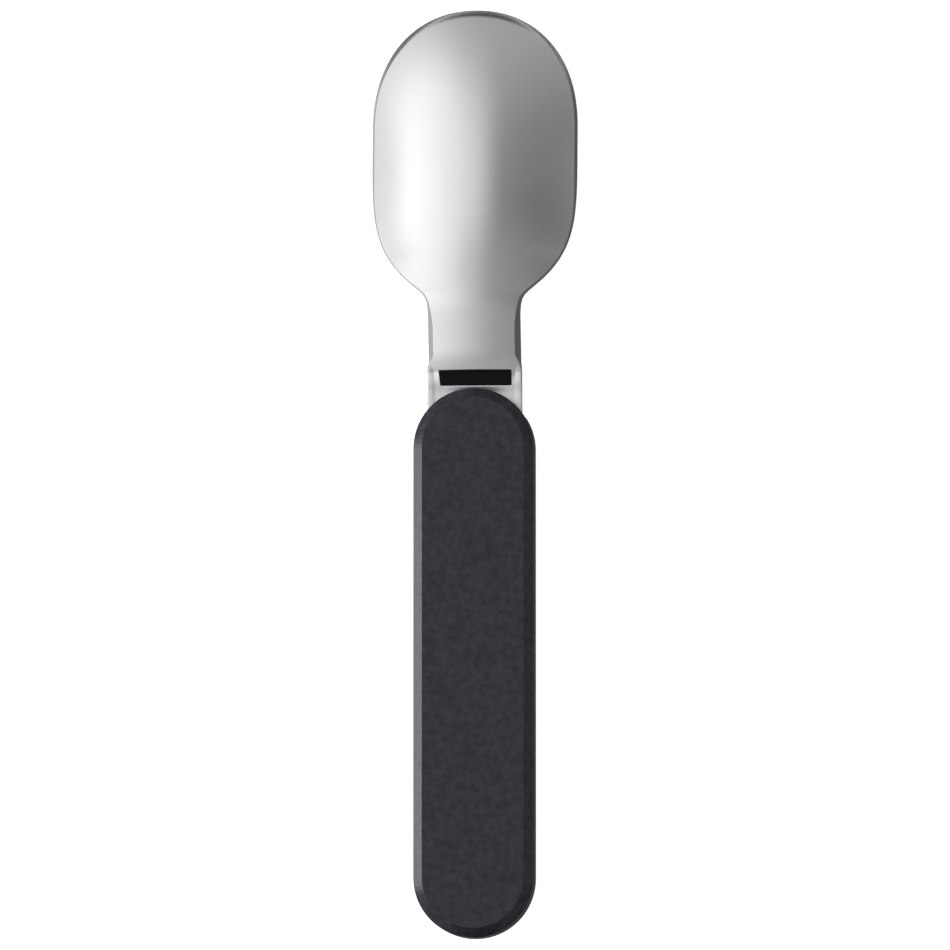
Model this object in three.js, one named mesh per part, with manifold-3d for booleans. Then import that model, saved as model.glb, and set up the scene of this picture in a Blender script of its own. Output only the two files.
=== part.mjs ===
// A folding spoon: a pressed steel blade that turns on a pin in the head of a two-part moulded handle.
// Millimetres. +Y runs from the handle to the tip of the bowl, +X across, +Z out of the back of the spoon.
// It lies face down, as in the photograph: the front of the handle and the tip of the bowl touch z = 0.
// Folding swings the tip down and back, until the hollow of the bowl covers the front of the handle.

import * as THREE from "three";
import { mergeVertices } from "three/addons/utils/BufferGeometryUtils.js";
import Module from "manifold-3d";

const wasm = await Module();
wasm.setup();

// Whole spoon
const spoonLength = 160;
const runningGap = 0.1;
const pieceGap = 0.3;
const cutOverrun = 3;

// Handle
const handleLength = 94.25;
const handleWidth = 20.65;
const frontShellThickness = 2.1;
const backShellThickness = 5.9;
const backChamfer = 1.6;
const frontChamfer = 1.2;
const partingChamfer = 0.3;

// Hinge
const pinSetback = 8.1;
const pinRadius = 1.1;
const pinLength = 16.8;
const pinChamfer = 0.2;
const barrelRadius = 1.9;
const barrelFlatHeight = 1.6;
const washerThickness = 0.3;
const washerRadius = 1.8;
const cheekThickness = 1.3;
const cheekRadius = 3.4;

// Sheet metal of the blade
const sheetThickness = 1;
const trayWidth = 16.4;
const trayRearSetback = 4.6;
const trayRise = 1.5;
const lipWidth = 1.1;
const lipHeight = 0.4;
const lipReach = 3.1;
const lipRunOut = 3.5;
const neckWidth = 15.65;
const neckEndStep = 0.3;
const neckSlope = 0.23;
const neckBendLength = 4.6;
const neckRoll = 1.7;

// Slot across the tray
const slotLength = 12.7;
const slotWidth = 2.3;
const slotSlant = 0.4;
const nubSink = 0.6;
const armThickness = 1;
const armOverlap = 1.2;

// Bowl
const bowlWidth = 35.35;
const bowlTipLength = 21;
const bowlNeckLength = 32;
const bowlCrownLength = 30;
const bowlDepth = 6.2;
const shoulderFillet = 2.15;
const tipBevel = 1.3;
const rimEdge = 0.4;
const tipEndPower = 2.28;
const tipSidePower = 2.12;
const shoulderEndPower = 4.8;
const shoulderSidePower = 1.06;
const crownTipPower = 2.3;
const crownNeckPower = 1.6;
const rimFallPower = 1.3;
const bowlSectionPower = 2.2;
const neckCrownShare = 0.4;
const neckRollPower = 14;
const neckRollStart = 0.55;
const rimInsetShare = 0.028;

// Leaf spring that holds the blade open or folded
const springWidth = 8;
const springThickness = 0.6;
const springLength = 35.5;
const springTab = 1.8;
const springSeatLength = 12;
const springLift = 0.6;
const barrelRoom = 0.9;

// Recess in the front of the handle for the folded neck
const recessDepth = 0.8;
const recessLength = 15;
const recessRamp = 6;

// How finely the curves are cut
const arcSteps = 40;
const rodSteps = 32;
const floorColumns = 10;
const tipSteps = 18;
const lipEdgeShare = 0.012;
const neckLipShare = 0.05;
const slopeStep = 0.01;

// Places worked out from the sizes above
const handleRearY = -spoonLength / 2;
const noseY = handleRearY + handleLength;
const tipY = spoonLength / 2;
const headRadius = handleWidth / 2;
const handleThickness = frontShellThickness + backShellThickness;
const pinY = noseY - pinSetback;
const pinZ = frontShellThickness;
const trayRearY = noseY - trayRearSetback;
const lipFullY = noseY + lipReach;
const lipStartY = lipFullY + lipRunOut;
const slotTopY = lipFullY;
const slotBottomY = slotTopY - slotWidth;
const floorUnder = pinZ + trayRise;
const floorTop = floorUnder + sheetThickness;
const lipTop = floorTop + lipHeight;
const bowlCentreY = tipY - bowlTipLength;
const bowlStartY = bowlCentreY - bowlNeckLength;
const neckBendY = bowlStartY + neckBendLength;
const neckCrownUnder = floorUnder + neckEndStep + neckDrop(lipFullY);
const neckEdgeUnder = neckCrownUnder - neckRoll;
const crownY = tipY - bowlCrownLength;
const trayHalf = trayWidth / 2;
const trayRoomHalf = trayHalf + pieceGap;
const cheekInner = trayRoomHalf - cheekThickness;
const knuckleHalf = cheekInner - washerThickness - 2 * runningGap;
const shellCutY = pinY + cheekRadius - pieceGap;
const springUnder = pinZ + barrelRadius + runningGap;
const springTop = springUnder + springThickness;
const springFrontY = pinY + barrelRadius - pieceGap;
const springRearY = springFrontY - springLength;
const seatRearY = springRearY + springThickness + pieceGap;
const armEndY = slotTopY + armOverlap;
const armReach = armEndY - pinY;

const clamp = (value) => Math.min(1, Math.max(0, value));
const mix = (a, b, t) => a + (b - a) * t;
const smooth = (t) => t * t * (3 - 2 * t);

const steel = new THREE.MeshStandardMaterial({ color: 0xc8c8ca, roughness: 0.24, metalness: 1 });
const springSteel = new THREE.MeshStandardMaterial({ color: 0x9a9a9e, roughness: 0.35, metalness: 1 });
const blackPlastic = new THREE.MeshStandardMaterial({ color: 0x2c2c30, roughness: 0.6, metalness: 0 });
const nylon = new THREE.MeshStandardMaterial({ color: 0x18181a, roughness: 0.5, metalness: 0 });
const washerNylon = new THREE.MeshStandardMaterial({ color: 0xd8d6ce, roughness: 0.5, metalness: 0 });

// A closed geometry as a solid, and a solid as a geometry with flat faces.
function solidOf(geometry) {
  geometry.deleteAttribute("normal");
  geometry.deleteAttribute("uv");
  const merged = mergeVertices(geometry);
  return new wasm.Manifold(
    new wasm.Mesh({
      numProp: 3,
      vertProperties: new Float32Array(merged.attributes.position.array),
      triVerts: new Uint32Array(merged.index.array),
    }),
  );
}

function geometryOf(solid) {
  const { vertProperties, triVerts } = solid.getMesh();
  const geometry = new THREE.BufferGeometry();
  geometry.setAttribute("position", new THREE.BufferAttribute(vertProperties, 3));
  geometry.setIndex(new THREE.BufferAttribute(triVerts, 1));
  const flat = geometry.toNonIndexed();
  flat.computeVertexNormals();
  return flat;
}

function box(x0, x1, y0, y1, z0, z1) {
  const geometry = new THREE.BoxGeometry(x1 - x0, y1 - y0, z1 - z0);
  geometry.translate((x0 + x1) / 2, (y0 + y1) / 2, (z0 + z1) / 2);
  return solidOf(geometry);
}

// A shape drawn in (Y, Z) and drawn out along X, from x0 to x1.
function acrossX(shape, x0, x1) {
  const geometry = new THREE.ExtrudeGeometry(shape, { depth: x1 - x0, bevelEnabled: false });
  geometry.rotateY(Math.PI / 2);
  geometry.rotateX(Math.PI / 2);
  geometry.translate(x0, 0, 0);
  return solidOf(geometry);
}

// Points of an arc about the hinge line, in (Y, Z), stepped as finely as a whole rod is.
function hingeArc(radius, from, to) {
  const steps = Math.max(1, Math.round((rodSteps * (to - from)) / (2 * Math.PI)));
  return Array.from({ length: steps + 1 }, (_, k) => {
    const angle = mix(from, to, k / steps);
    return new THREE.Vector2(pinY + radius * Math.cos(angle), pinZ + radius * Math.sin(angle));
  });
}

function hingeCircle(radius) {
  return hingeArc(radius, 0, 2 * Math.PI).slice(1);
}

// A round rod on the hinge line.
function hingeRod(radius, x0, x1) {
  return acrossX(new THREE.Shape(hingeCircle(radius)), x0, x1);
}

// Rings of points, all of one count and counter-clockwise from above, joined into one closed skin.
function ringsSolid(rings) {
  const count = rings[0].length;
  const positions = rings.flat().flatMap((p) => [p.x, p.y, p.z]);
  const index = [];
  for (let r = 0; r + 1 < rings.length; r++) {
    for (let k = 0; k < count; k++) {
      const next = (k + 1) % count;
      const [a, b] = [r * count + k, r * count + next];
      index.push(a, b, b + count, a, b + count, a + count);
    }
  }
  const top = (rings.length - 1) * count;
  for (let k = 1; k + 1 < count; k++) {
    index.push(0, k + 1, k);
    index.push(top, top + k, top + k + 1);
  }
  const geometry = new THREE.BufferGeometry();
  geometry.setAttribute("position", new THREE.Float32BufferAttribute(positions, 3));
  geometry.setIndex(index);
  return solidOf(geometry);
}

// The handle's outline at one height: two half circles, joined by straight sides.
function handleRing(z, inset) {
  const radius = headRadius - inset;
  const points = [];
  for (const [centreY, start] of [[noseY - headRadius, 0], [handleRearY + headRadius, Math.PI]]) {
    for (let k = 0; k <= arcSteps; k++) {
      const angle = start + (Math.PI * k) / arcSteps;
      points.push(new THREE.Vector3(radius * Math.cos(angle), centreY + radius * Math.sin(angle), z));
    }
  }
  return points;
}

function backShell() {
  const body = ringsSolid([
    handleRing(pinZ, partingChamfer),
    handleRing(pinZ + partingChamfer, 0),
    handleRing(handleThickness - backChamfer, 0),
    handleRing(handleThickness, backChamfer),
  ]);
  const springRoom = springWidth / 2 + pieceGap;
  const overNose = noseY + cutOverrun;
  const below = pinZ - cutOverrun;
  const cuts = [
    box(-handleWidth, handleWidth, shellCutY, overNose, below, lipTop + pieceGap),
    box(-cheekInner, cheekInner, pinY - barrelRadius - pieceGap, overNose, below, springUnder + barrelRoom),
    box(-springRoom, springRoom, springRearY - pieceGap, overNose, below, springTop),
    box(-springRoom, springRoom, seatRearY + springSeatLength, overNose, below, springTop + springLift),
    hingeRod(pinRadius + runningGap, -pinLength / 2 - runningGap, pinLength / 2 + runningGap),
  ];
  return cuts.reduce((solid, cut) => solid.subtract(cut), body);
}

function frontShell() {
  const body = ringsSolid([
    handleRing(0, frontChamfer),
    handleRing(frontChamfer, 0),
    handleRing(pinZ - partingChamfer, 0),
    handleRing(pinZ, partingChamfer),
  ]);
  const overNose = noseY + cutOverrun;
  const seatHalf = springWidth / 2;
  const notchRearY = pinY - armReach - pieceGap;
  const cheeks = hingeRod(cheekRadius, -trayRoomHalf, trayRoomHalf);
  const headCut = box(-trayRoomHalf, trayRoomHalf, pinY, overNose, -cutOverrun, pinZ + cutOverrun);
  const cuts = [
    box(-handleWidth, handleWidth, shellCutY, overNose, -cutOverrun, pinZ + cutOverrun),
    headCut.subtract(cheeks),
    box(-cheekInner, cheekInner, notchRearY, overNose, -cutOverrun, pinZ + cutOverrun),
    neckRecess(),
    hingeRod(pinRadius + runningGap, -pinLength / 2 - runningGap, pinLength / 2 + runningGap),
  ];
  const seat = box(-seatHalf, seatHalf, seatRearY, seatRearY + springSeatLength, frontChamfer, springUnder);
  return cuts.reduce((solid, cut) => solid.subtract(cut), body).add(seat);
}

// The shallow bed that the tray and the neck lie in when the spoon is folded, with a ramp at its far end.
function neckRecess() {
  const startY = pinY - trayRise - sheetThickness - pieceGap;
  const flatEndY = startY - recessLength;
  const shape = new THREE.Shape();
  shape.moveTo(startY, -cutOverrun);
  shape.lineTo(startY, recessDepth);
  shape.lineTo(flatEndY, recessDepth);
  shape.lineTo(flatEndY - recessRamp, 0);
  shape.lineTo(flatEndY - recessRamp, -cutOverrun);
  return acrossX(shape, -trayRoomHalf, trayRoomHalf);
}

// Half the width of the blade: a blunt round tip, full shoulders that run into the neck, and the wider tray.
function halfWidth(y) {
  const half = bowlWidth / 2;
  if (y >= bowlCentreY) {
    const t = clamp((y - bowlCentreY) / bowlTipLength);
    return half * (1 - t ** tipEndPower) ** (1 / tipSidePower);
  }
  const t = clamp((bowlCentreY - y) / bowlNeckLength);
  const shoulder = half * (1 - t ** shoulderEndPower) ** (1 / shoulderSidePower);
  const neck = neckWidth / 2;
  const blend = Math.hypot(shoulder - neck, shoulderFillet * t);
  const rounded = (shoulder + neck + blend) / 2;
  return mix(rounded, trayHalf, trayAt(y));
}

// 0 on the neck and the bowl, 1 where the sheet is a tray.
function trayAt(y) {
  return smooth(clamp((lipStartY - y) / lipRunOut));
}

// The neck is a straight ramp from the bowl down to the tray, with a soft bend at its upper end.
function neckDrop(y) {
  const bent = Math.min(Math.max(neckBendY - y, 0), neckBendLength);
  const straight = Math.max(bowlStartY - y, 0);
  return neckSlope * ((bent * bent) / (2 * neckBendLength) + straight);
}

// Height of the rim's underside, from the neck down to the tip.
function rimUnder(y) {
  const t = clamp((y - bowlStartY) / (tipY - bowlStartY));
  return neckEdgeUnder * (1 - t ** rimFallPower) - neckDrop(y);
}

// How far the hollow rises over its rim on the centre line.
function hollowRise(y) {
  if (y >= crownY) {
    const t = clamp((y - crownY) / bowlCrownLength);
    return bowlDepth * (1 - t ** crownTipPower);
  }
  const t = clamp((crownY - y) / (crownY - bowlStartY));
  return neckRoll + (bowlDepth - neckRoll) * (1 - t * t) ** crownNeckPower;
}

// How far the section has fallen at a share of the half width: 0 on the centre line, 1 at the rim.
// The bowl is one round arch. The neck is nearly flat, with its edges rolled down.
function sectionFall(share, y) {
  const t = clamp((crownY - y) / (crownY - bowlStartY));
  const out = Math.abs(share);
  const neckFall = mix(out ** neckRollPower, out * out, neckCrownShare);
  const rolled = smooth(clamp((t - neckRollStart) / (1 - neckRollStart)));
  return mix(out ** bowlSectionPower, neckFall, rolled);
}

// The hollow side of the sheet at a share of the half width, before the tray is pressed in.
function hollow(share, y) {
  return rimUnder(y) + hollowRise(y) * (1 - sectionFall(share, y));
}

// The sheet's thickness measured straight up, which grows with the slope of the hollow.
function uprightThickness(share, y) {
  const step = sheetThickness / 20;
  const before = (f) => (f(y) - f(y - step)) / step;
  const width = Math.max(halfWidth(y), sheetThickness);
  const out = Math.abs(share);
  const turn = (sectionFall(out, y) - sectionFall(out - slopeStep, y)) / slopeStep;
  const across = (hollowRise(y) * turn) / width;
  const thinning = across * out * before(halfWidth);
  const along = before(rimUnder) + before(hollowRise) * (1 - sectionFall(out, y)) + thinning;
  return sheetThickness * Math.sqrt(1 + Math.min(across * across + along * along, 1));
}

function underAt(share, y) {
  return mix(hollow(share, y), floorUnder, trayAt(y));
}

function backAt(share, y, onLip) {
  const arch = hollow(share, y) + uprightThickness(share, y);
  return mix(arch, onLip ? lipTop : floorTop, trayAt(y));
}

// Stations along the blade, closer together where its shape turns quickly.
function stations() {
  const marks = [
    [trayRearY, lipFullY, 3],
    [lipFullY, lipStartY, 7],
    [lipStartY, bowlStartY, 4],
    [bowlStartY, mix(bowlStartY, bowlCentreY, 0.4), 12],
    [mix(bowlStartY, bowlCentreY, 0.4), bowlCentreY, 8],
  ];
  const list = marks.flatMap(([from, to, steps]) =>
    Array.from({ length: steps }, (_, k) => mix(from, to, k / steps)),
  );
  for (let k = 0; k < tipSteps; k++) {
    const turn = (Math.PI / 2) * (k / tipSteps);
    list.push(bowlCentreY + bowlTipLength * Math.sin(turn) ** (2 / tipEndPower));
  }
  return list;
}

// Columns across one station, as shares of the half width. The lip's inner face lies between two of them.
function columns(y) {
  const lipShare = mix(neckLipShare, lipWidth / trayHalf, trayAt(y));
  const floor = 1 - lipShare - lipEdgeShare;
  const half = Array.from({ length: floorColumns }, (_, k) => ({ share: (floor * (k + 1)) / floorColumns }));
  half.push({ share: 1 - lipShare + lipEdgeShare, lip: true });
  half.push({ share: 1, lip: true });
  const left = half.map(({ share, lip }) => ({ share: -share, lip })).reverse();
  return [...left, { share: 0 }, ...half];
}

// Where the back of the sheet lies for a point of the outline: a little inside it, for the bevelled rim.
function insetPoint(share, y) {
  const reach = Math.max(0, y - bowlCentreY);
  return [share * halfWidth(y) * (1 - rimInsetShare), y - (reach / bowlTipLength) * tipBevel];
}

// The bare sheet: its back, its hollow side and, between them, the bevel and the upright edge of the rim.
function bladeSheet() {
  const rows = stations();
  const back = [];
  const under = [];
  const edge = [];
  const place = (share, y, lip) => {
    const [x, insetY] = insetPoint(share, y);
    const width = halfWidth(insetY);
    const inner = width > 0 ? Math.min(1, Math.abs(x) / width) : 0;
    const z = underAt(share, y);
    const edgeHeight = mix(rimEdge, lipTop - floorUnder - partingChamfer, trayAt(y));
    back.push(x, insetY, backAt(inner, insetY, lip));
    under.push(share * halfWidth(y), y, z);
    edge.push(share * halfWidth(y), y, z + edgeHeight);
  };
  rows.forEach((y) => columns(y).forEach(({ share, lip }) => place(share, y, lip)));
  place(0, tipY, false);

  const across = columns(trayRearY).length;
  const apex = rows.length * across;
  const at = (row, column) => row * across + column;
  const ring = [];
  for (let c = 0; c < across; c++) ring.push(at(0, c));
  for (let r = 1; r < rows.length; r++) ring.push(at(r, across - 1));
  ring.push(apex);
  for (let r = rows.length - 1; r > 0; r--) ring.push(at(r, 0));

  const count = apex + 1;
  const positions = [...back, ...under, ...ring.flatMap((v) => edge.slice(3 * v, 3 * v + 3))];
  const index = [];
  const face = (a, b, c) => {
    index.push(a, b, c);
    index.push(count + a, count + c, count + b);
  };
  for (let r = 0; r + 1 < rows.length; r++) {
    for (let c = 0; c + 1 < across; c++) {
      face(at(r, c), at(r, c + 1), at(r + 1, c + 1));
      face(at(r, c), at(r + 1, c + 1), at(r + 1, c));
    }
  }
  for (let c = 0; c + 1 < across; c++) face(at(rows.length - 1, c), at(rows.length - 1, c + 1), apex);
  for (let k = 0; k < ring.length; k++) {
    const next = (k + 1) % ring.length;
    const [upper, upperNext] = [ring[k], ring[next]];
    const [middle, middleNext] = [2 * count + k, 2 * count + next];
    const [lower, lowerNext] = [count + ring[k], count + ring[next]];
    index.push(middle, middleNext, upperNext, middle, upperNext, upper);
    index.push(lower, lowerNext, middleNext, lower, middleNext, middle);
  }
  const geometry = new THREE.BufferGeometry();
  geometry.setAttribute("position", new THREE.Float32BufferAttribute(positions, 3));
  geometry.setIndex(index);
  return solidOf(geometry);
}

// The slot across the tray, and the nub that fills it: one outline, drawn in by a gap.
function slotPrism(gap, z0, z1) {
  const half = slotLength / 2;
  const shape = new THREE.Shape();
  shape.moveTo(-half + slotSlant + gap, slotBottomY + gap);
  shape.lineTo(half - gap, slotBottomY + gap);
  shape.lineTo(half - gap, slotTopY - gap);
  shape.lineTo(-half + gap, slotTopY - gap);
  const geometry = new THREE.ExtrudeGeometry(shape, { depth: z1 - z0, bevelEnabled: false });
  geometry.translate(0, 0, z0);
  return solidOf(geometry);
}

function spoonBlade() {
  return bladeSheet().subtract(slotPrism(0, floorUnder - cutOverrun, lipTop + cutOverrun));
}

// The knuckle's side view: a barrel with two flats for the spring, and the arm that carries the tray.
function knuckleShape() {
  const flat = Math.asin(barrelFlatHeight / barrelRadius);
  const armTop = Math.asin(trayRise / barrelRadius);
  const armUnder = Math.asin((trayRise - armThickness) / barrelRadius);
  const shape = new THREE.Shape([
    new THREE.Vector2(armEndY, floorUnder - armThickness),
    new THREE.Vector2(armEndY, floorUnder),
    ...hingeArc(barrelRadius, armTop, flat),
    ...hingeArc(barrelRadius, Math.PI - flat, Math.PI + flat),
    ...hingeArc(barrelRadius, 2 * Math.PI - flat, 2 * Math.PI + armUnder),
  ]);
  shape.holes.push(new THREE.Path(hingeCircle(pinRadius + runningGap)));
  return shape;
}

function hingeKnuckle() {
  const body = acrossX(knuckleShape(), -knuckleHalf, knuckleHalf);
  const nub = slotPrism(pieceGap, floorUnder - armThickness / 2, floorTop - nubSink);
  return body.add(nub);
}

// The pin, with small chamfers at both ends, turned about its own line and laid across.
function hingePin() {
  const half = pinLength / 2;
  const profile = [
    new THREE.Vector2(0, -half),
    new THREE.Vector2(pinRadius - pinChamfer, -half),
    new THREE.Vector2(pinRadius, -half + pinChamfer),
    new THREE.Vector2(pinRadius, half - pinChamfer),
    new THREE.Vector2(pinRadius - pinChamfer, half),
    new THREE.Vector2(0, half),
  ];
  const geometry = new THREE.LatheGeometry(profile, rodSteps);
  geometry.rotateZ(-Math.PI / 2);
  geometry.translate(0, pinY, pinZ);
  return solidOf(geometry);
}

function hingeWasher(side) {
  const inner = side * (knuckleHalf + runningGap);
  const outer = side * (knuckleHalf + runningGap + washerThickness);
  const [x0, x1] = [Math.min(inner, outer), Math.max(inner, outer)];
  const bore = hingeRod(pinRadius + runningGap, x0 - cutOverrun, x1 + cutOverrun);
  return hingeRod(washerRadius, x0, x1).subtract(bore);
}

// The leaf lies over the barrel's flat. Its rear end is bent down behind the seat on the front shell.
function detentSpring() {
  const shape = new THREE.Shape();
  shape.moveTo(springFrontY, springUnder);
  shape.lineTo(springFrontY, springTop);
  shape.lineTo(springRearY, springTop);
  shape.lineTo(springRearY, springTop - springTab);
  shape.lineTo(springRearY + springThickness, springTop - springTab);
  shape.lineTo(springRearY + springThickness, springUnder);
  return acrossX(shape, -springWidth / 2, springWidth / 2);
}

function piece(name, solid, material) {
  const mesh = new THREE.Mesh(geometryOf(solid), material);
  mesh.name = name;
  return mesh;
}

const handle = new THREE.Group();
handle.add(piece("handle_back_shell", backShell(), blackPlastic));
handle.add(piece("handle_front_shell", frontShell(), blackPlastic));
handle.add(piece("hinge_pin", hingePin(), springSteel));
handle.add(piece("hinge_washer_left", hingeWasher(-1), washerNylon));
handle.add(piece("hinge_washer_right", hingeWasher(1), washerNylon));
handle.add(piece("detent_spring", detentSpring(), springSteel));

const blade = new THREE.Group();
blade.add(piece("spoon_blade", spoonBlade(), steel));
blade.add(piece("hinge_knuckle", hingeKnuckle(), nylon));

const spoon = new THREE.Group();
spoon.add(handle, blade);
export default spoon;
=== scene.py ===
"""A folding spoon seen from its back.

It has a satin steel blade with a slotted channel neck, and a black moulded handle. Lengths are millimetres
until a mesh is made, which is in metres. +Y runs to the tip of the bowl and +Z is the back.
"""

import math

import bpy
import numpy as np
from mathutils import Matrix, Vector

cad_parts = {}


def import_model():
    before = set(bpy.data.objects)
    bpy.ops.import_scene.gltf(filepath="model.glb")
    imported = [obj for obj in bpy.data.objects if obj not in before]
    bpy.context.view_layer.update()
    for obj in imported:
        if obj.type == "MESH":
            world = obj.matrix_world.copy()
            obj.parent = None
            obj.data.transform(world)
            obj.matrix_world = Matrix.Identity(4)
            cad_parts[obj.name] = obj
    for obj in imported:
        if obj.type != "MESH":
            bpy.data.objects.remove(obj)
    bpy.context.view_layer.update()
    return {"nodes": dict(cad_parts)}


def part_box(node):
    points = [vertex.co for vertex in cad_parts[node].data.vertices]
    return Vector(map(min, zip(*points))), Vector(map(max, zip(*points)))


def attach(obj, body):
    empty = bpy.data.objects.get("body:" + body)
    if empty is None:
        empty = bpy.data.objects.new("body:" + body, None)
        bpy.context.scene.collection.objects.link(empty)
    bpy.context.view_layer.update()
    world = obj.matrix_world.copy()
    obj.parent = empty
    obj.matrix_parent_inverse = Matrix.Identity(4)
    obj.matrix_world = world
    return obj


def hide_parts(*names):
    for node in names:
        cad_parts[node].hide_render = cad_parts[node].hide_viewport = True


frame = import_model()

MM = 0.001


def cad_box(node):
    """A node's lowest and highest corner, in millimetres."""
    low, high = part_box(node)
    return [v / MM for v in low], [v / MM for v in high]


# Places read from the frame
BLADE_LOW, BLADE_HIGH = cad_box("spoon_blade")
NOSE_Y = cad_box("handle_back_shell")[1][1]
PIN_LOW, PIN_HIGH = cad_box("hinge_pin")
TIP_Y = BLADE_HIGH[1]
TRAY_REAR_Y = BLADE_LOW[1]
PIN_Z = (PIN_LOW[2] + PIN_HIGH[2]) / 2

# The sheet metal, as the part has it
SHEET = 1.0
TRAY_HALF = 8.2
TRAY_RISE = 1.5
LIP_WIDTH = 1.1
LIP_HEIGHT = 0.04
LIP_REACH = 3.1
LIP_RUN_OUT = 1.8
NECK_HALF = 7.825
NECK_END_STEP = 0.3
NECK_SLOPE = 0.23
NECK_BEND_LENGTH = 4.6
NECK_BEND_EARLY = 0.2
NECK_BEND_LATE = 0.12
NECK_ROLL = 1.7
SLOT_LENGTH = 12.7
SLOT_WIDTH = 2.3
SLOT_SLANT = 0.4
NUB_SINK = 0.6
BOWL_TIP_LENGTH = 21.0
BOWL_NECK_LENGTH = 32.0
BOWL_CROWN_LENGTH = 30.0
BOWL_DEPTH = 6.2
SHOULDER_FILLET = 2.15
TIP_BEVEL = 1.3
RIM_EDGE = 0.4
TIP_END_POWER = 2.28
TIP_SIDE_POWER = 2.12
SHOULDER_END_POWER = 4.8
SHOULDER_SIDE_POWER = 1.06
CROWN_TIP_POWER = 2.3
CROWN_NECK_POWER = 1.6
RIM_FALL_POWER = 1.3
BOWL_SECTION_POWER = 2.2
NECK_CROWN_SHARE = 0.4
NECK_ROLL_POWER = 14.0
NECK_ROLL_START = 0.55
NECK_LIP_SHARE = 0.05

# Small radii and edges that only this finer surface has
LIP_ROUND = 0.8
SLOT_ROUND = 0.35
SLOT_END_ROUND = 0.05
SLOT_LEFT_IN = 0.35
RIM_ROUND = 0.25
TIP_EDGE = 0.85
FACET_CURVE = 1.15
FACET_STEPS = (0.08, 0.3, 0.55, 0.78, 0.92, 1.0)
RIM_ROUND_STEPS = (0.0, 1 / 3, 2 / 3)
LEAST_FACET_DROP = 0.1
LEAST_EDGE = 0.05
SHARP_DEG = 17

# Width of the ground facet along the rim: (place along the blade, width)
FACET_WIDTHS = [
    (17.0, 0.23),
    (18.8, 0.3),
    (20.0, 0.95),
    (25.0, 0.95),
    (29.5, 0.4),
    (33.0, 0.28),
    (42.0, 0.28),
    (52.0, 0.45),
]

# The tray's back runs on down from the neck's ramp, and levels out under the handle
SLOT_APPROACH = 3.6
APPROACH_DROP = 0.42
TRAY_START_DROP = 0.08
TRAY_SLOPE = 0.29
TRAY_SLOPE_LESS = 0.045
TRAY_LEVEL = 0.6
TRAY_CROWN = 0.16

# How far the plug in the slot reaches below the tray, and lies under the nub's own top
PLUG_BELOW = 0.3
PLUG_SINK = 0.02

# A short way along and across the blade, over which its slopes are measured, and the steepest that counts
STEP_ALONG = SHEET / 20
STEP_SHARE = 0.01
STEEPEST = 1

# Points this near to each other count as one, and a point this near to the slot lies in it
TOUCHING = 1e-6
IN_SLOT = 1e-3

# The rows of the blade's mesh lie further apart over this length of the bowl, and closest at the tip
BOWL_MIDDLE = 12.0
TIP_ROWS = 80

# Columns of the blade's mesh are drawn in by the facet only near the edge: this power of their share
INSET_POWER = 10

# The columns at the slot's end keep this far from the lip's inner edge, in half widths of that edge
END_BEFORE_LIP = 2.2
WALL_BEFORE_LIP = 1.5

# Kept between this surface and the part's box
MARGIN = 0.003

# The height of the facet on the tray's edges
TRAY_EDGE_FACET = 0.3

BOWL_HALF = (BLADE_HIGH[0] - BLADE_LOW[0]) / 2 - MARGIN
LIP_FULL_Y = NOSE_Y + LIP_REACH
LIP_START_Y = LIP_FULL_Y + LIP_RUN_OUT
SLOT_TOP_Y = LIP_FULL_Y
SLOT_BOTTOM_Y = SLOT_TOP_Y - SLOT_WIDTH
FLOOR_UNDER = PIN_Z + TRAY_RISE
FLOOR_TOP = FLOOR_UNDER + SHEET
LIP_TOP = FLOOR_TOP + LIP_HEIGHT
BOWL_CENTRE_Y = TIP_Y - BOWL_TIP_LENGTH
BOWL_START_Y = BOWL_CENTRE_Y - BOWL_NECK_LENGTH
NECK_BEND_Y = BOWL_START_Y + NECK_BEND_LENGTH
CROWN_Y = TIP_Y - BOWL_CROWN_LENGTH


def mix(a, b, t):
    """A value the share t of the way from a to b."""
    return a + (b - a) * t


def clamp(v):
    return np.clip(v, 0.0, 1.0)


def smooth(t):
    return t * t * (3 - 2 * t)


def tray_at(y):
    """0 on the neck and 1 on the tray. The change lies where the lips run out."""
    return smooth(clamp((LIP_START_Y - y) / LIP_RUN_OUT))


def half_width(y):
    """Half the blade's width: a blunt tip, full shoulders that run into the neck, and the wider tray."""
    y = np.asarray(y, float)
    t = clamp((y - BOWL_CENTRE_Y) / BOWL_TIP_LENGTH)
    tip = BOWL_HALF * (1 - t**TIP_END_POWER) ** (1 / TIP_SIDE_POWER)
    s = clamp((BOWL_CENTRE_Y - y) / BOWL_NECK_LENGTH)
    shoulder = BOWL_HALF * (1 - s**SHOULDER_END_POWER) ** (1 / SHOULDER_SIDE_POWER)
    rounded = (shoulder + NECK_HALF + np.hypot(shoulder - NECK_HALF, SHOULDER_FILLET * s)) / 2
    return np.where(y >= BOWL_CENTRE_Y, tip, mix(rounded, TRAY_HALF, tray_at(y)))


def neck_drop(y):
    """The neck is a straight ramp from the bowl down to the tray, with a soft bend at its upper end."""
    t = clamp((NECK_BEND_Y - y) / NECK_BEND_LENGTH)
    straight = np.maximum(BOWL_START_Y - y, 0)
    return NECK_SLOPE * (NECK_BEND_LENGTH * (NECK_BEND_EARLY * t**2 + NECK_BEND_LATE * t**5) + straight)


NECK_EDGE_UNDER = FLOOR_UNDER + NECK_END_STEP + float(neck_drop(LIP_FULL_Y)) - NECK_ROLL


def rim_under(y):
    """The height of the rim's under side, which falls to nothing at the tip."""
    t = clamp((y - BOWL_START_Y) / (TIP_Y - BOWL_START_Y))
    return NECK_EDGE_UNDER * (1 - t**RIM_FALL_POWER) - neck_drop(y)


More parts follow.
